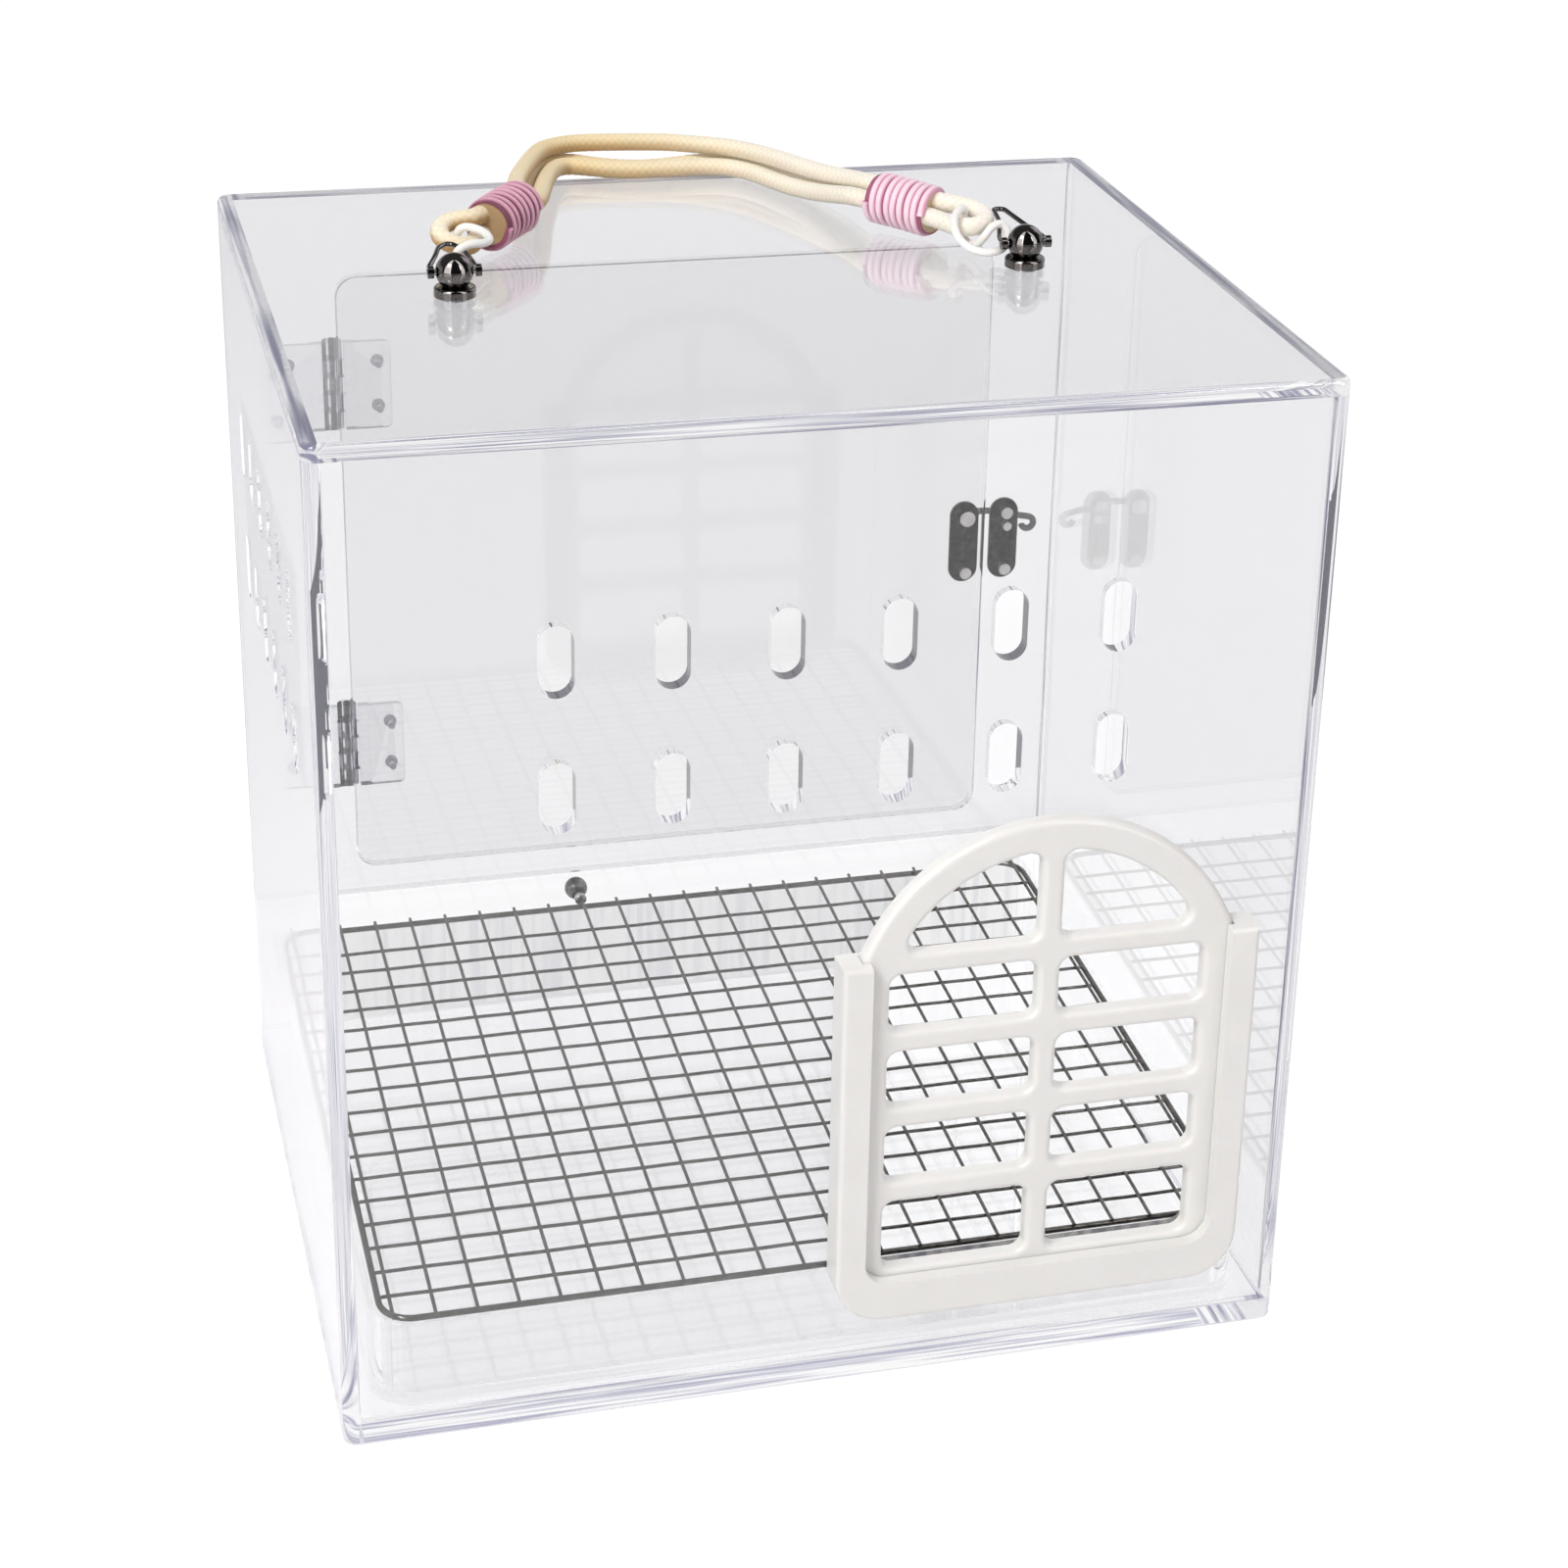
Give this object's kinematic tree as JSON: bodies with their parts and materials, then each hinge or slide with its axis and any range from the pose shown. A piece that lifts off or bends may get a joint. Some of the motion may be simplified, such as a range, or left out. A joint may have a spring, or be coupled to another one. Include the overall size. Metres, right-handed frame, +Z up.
{
  "type": "pet carrier",
  "caption": "Clear acrylic travel carrier for a small bird with a sliding arched gate, hinged back door, pull-out tray with wire grate and a folded rope handle.",
  "frame": {"origin": "centre of the box's underside, in the plane it stands on", "axes": "+Z up, +X to the right seen from the gate, -Y towards the gate, +Y towards the back door"},
  "size_m": [0.3, 0.2755, 0.3399],
  "materials": {
    "clear_acrylic": "clear, polished",
    "ivory_plastic": "moulded, satin",
    "nickel": "dark nickel plate",
    "steel_wire": "drawn stainless wire",
    "pin_steel": "turned",
    "ivory_rope": "braided cotton",
    "pink_cord": "wound cord",
    "white_cord": "round cord"
  },
  "bodies": {
    "box": {"base_plate": "clear_acrylic", "front_wall": "clear_acrylic", "left_wall": "clear_acrylic", "right_wall": "clear_acrylic", "back_wall": "clear_acrylic", "top_panel": "clear_acrylic", "gate_channel": "ivory_plastic", "lower_hinge_wall_leaf": "clear_acrylic", "upper_hinge_wall_leaf": "clear_acrylic", "lower_hinge_pin": "pin_steel", "upper_hinge_pin": "pin_steel", "hinge_wall_screws": "pin_steel", "keeper_plate": "nickel", "keeper_rivets": "nickel", "keeper_post": "nickel", "left_stud": "nickel", "right_stud": "nickel", "stud_screws": "pin_steel"},
    "gate": {"gate": "ivory_plastic"},
    "door": {"door": "clear_acrylic", "lower_hinge_door_leaf": "clear_acrylic", "upper_hinge_door_leaf": "clear_acrylic", "hinge_door_screws": "pin_steel", "latch_plate": "nickel", "latch_rivet": "nickel", "latch_pivot": "nickel"},
    "hook": {"latch_hook": "nickel"},
    "tray": {"tray": "clear_acrylic", "tray_face": "clear_acrylic", "tray_knob": "nickel", "tray_knob_screw": "pin_steel"},
    "grate": {"grate_frame": "steel_wire", "grate_long_wires": "steel_wire", "grate_cross_wires": "steel_wire"},
    "handle": {"handle_rope": "ivory_rope", "left_whipping": "pink_cord", "right_whipping": "pink_cord", "left_link": "white_cord", "right_link": "white_cord", "left_bail": "nickel", "right_bail": "nickel", "left_bail_pin": "pin_steel", "right_bail_pin": "pin_steel"}
  },
  "joints": [
    {"name": "gate_slide", "type": "slide", "parent": "box", "child": "gate", "axis": [0, 0, 1], "range_m": [0, 0.1]},
    {"name": "door_swing", "type": "hinge", "parent": "box", "child": "door", "pos_m": [-0.114, 0.1285, 0.18325], "axis": [0, 0, 1], "range_deg": [0, 160]},
    {"name": "hook_lift", "type": "hinge", "parent": "door", "child": "hook", "pos_m": [0.1119, 0.1284, 0.1893], "axis": [0, -1, 0], "range_deg": [0, 100]},
    {"name": "tray_slide", "type": "slide", "parent": "box", "child": "tray", "axis": [0, 1, 0], "range_m": [0, 0.27]},
    {"name": "grate_lift", "type": "slide", "parent": "tray", "child": "grate", "axis": [0, 0, 1], "range_m": [0, 0.1]},
    {"name": "handle_swing", "type": "hinge", "parent": "box", "child": "handle", "pos_m": [0, 0, 0.3285], "axis": [1, 0, 0], "range_deg": [0, 165]}
  ]
}
